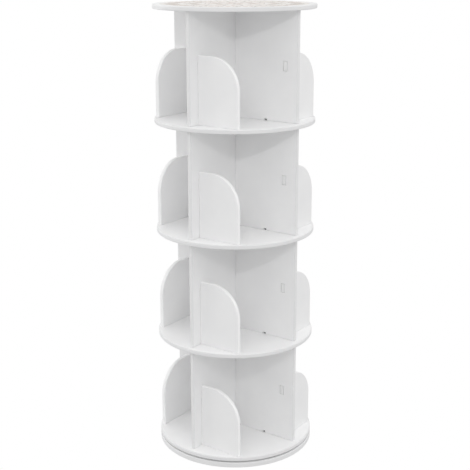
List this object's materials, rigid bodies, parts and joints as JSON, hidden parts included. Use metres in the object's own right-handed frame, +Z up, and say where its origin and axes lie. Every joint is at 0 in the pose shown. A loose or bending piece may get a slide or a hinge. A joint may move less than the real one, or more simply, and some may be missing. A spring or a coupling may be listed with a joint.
{
  "type": "rotating shelf",
  "caption": "Tall round revolving bookcase of white sheet: stacked disc shelves with crossed dividers and pinwheel arch plates, turning on a ring bearing over a round base.",
  "frame": {"origin": "middle of the underside of the base, on the axis that the tower turns about", "axes": "+Z up along the turning axis; X and Y run along the crossed dividers at rest"},
  "size_m": [0.46, 0.46, 1.304],
  "materials": {
    "white_board": "satin white foamed plastic sheet with rounded edges",
    "ornament_panel": "printed low relief ornament in beige on white, satin",
    "screw_steel": "zinc plated pan-head screws",
    "bearing_aluminium": "turned, matt",
    "cage_plastic": "moulded, greased"
  },
  "bodies": {
    "base": {"base_disc": "white_board", "bearing_outer_ring": "bearing_aluminium", "base_screw_1": "screw_steel", "base_screw_2": "screw_steel", "base_screw_3": "screw_steel", "base_screw_4": "screw_steel"},
    "cage": {"ball_cage": "cage_plastic"},
    "tower": {"bearing_inner_ring": "bearing_aluminium", "shelf_disc_1": "white_board", "divider_lower_1": "white_board", "divider_upper_1": "white_board", "arch_plate_1_right": "white_board", "arch_plate_1_back": "white_board", "arch_plate_1_left": "white_board", "arch_plate_1_front": "white_board", "shelf_disc_2": "white_board", "divider_lower_2": "white_board", "divider_upper_2": "white_board", "arch_plate_2_right": "white_board", "arch_plate_2_back": "white_board", "arch_plate_2_left": "white_board", "arch_plate_2_front": "white_board", "shelf_disc_3": "white_board", "divider_lower_3": "white_board", "divider_upper_3": "white_board", "arch_plate_3_right": "white_board", "arch_plate_3_back": "white_board", "arch_plate_3_left": "white_board", "arch_plate_3_front": "white_board", "shelf_disc_4": "white_board", "divider_lower_4": "white_board", "divider_upper_4": "white_board", "arch_plate_4_right": "white_board", "arch_plate_4_back": "white_board", "arch_plate_4_left": "white_board", "arch_plate_4_front": "white_board", "top_disc": "white_board", "ornament_panel": "ornament_panel", "shelf_1_screw_right": "screw_steel", "shelf_1_screw_back": "screw_steel", "shelf_1_screw_left": "screw_steel", "shelf_1_screw_front": "screw_steel", "shelf_2_screw_right": "screw_steel", "shelf_2_screw_back": "screw_steel", "shelf_2_screw_left": "screw_steel", "shelf_2_screw_front": "screw_steel", "shelf_3_screw_right": "screw_steel", "shelf_3_screw_back": "screw_steel", "shelf_3_screw_left": "screw_steel", "shelf_3_screw_front": "screw_steel", "shelf_4_screw_right": "screw_steel", "shelf_4_screw_back": "screw_steel", "shelf_4_screw_left": "screw_steel", "shelf_4_screw_front": "screw_steel", "top_screw_right": "screw_steel", "top_screw_back": "screw_steel", "top_screw_left": "screw_steel", "top_screw_front": "screw_steel"}
  },
  "joints": [
    {"name": "tower_turn", "type": "hinge", "parent": "base", "child": "tower", "pos_m": [0, 0, 0.0175], "axis": [0, 0, 1], "continuous": true},
    {"name": "cage_turn", "type": "hinge", "parent": "base", "child": "cage", "pos_m": [0, 0, 0.0175], "axis": [0, 0, 1], "continuous": true}
  ],
  "couplings": [
    {"joint": "cage_turn", "follows": "tower_turn", "ratio": 0.5}
  ]
}
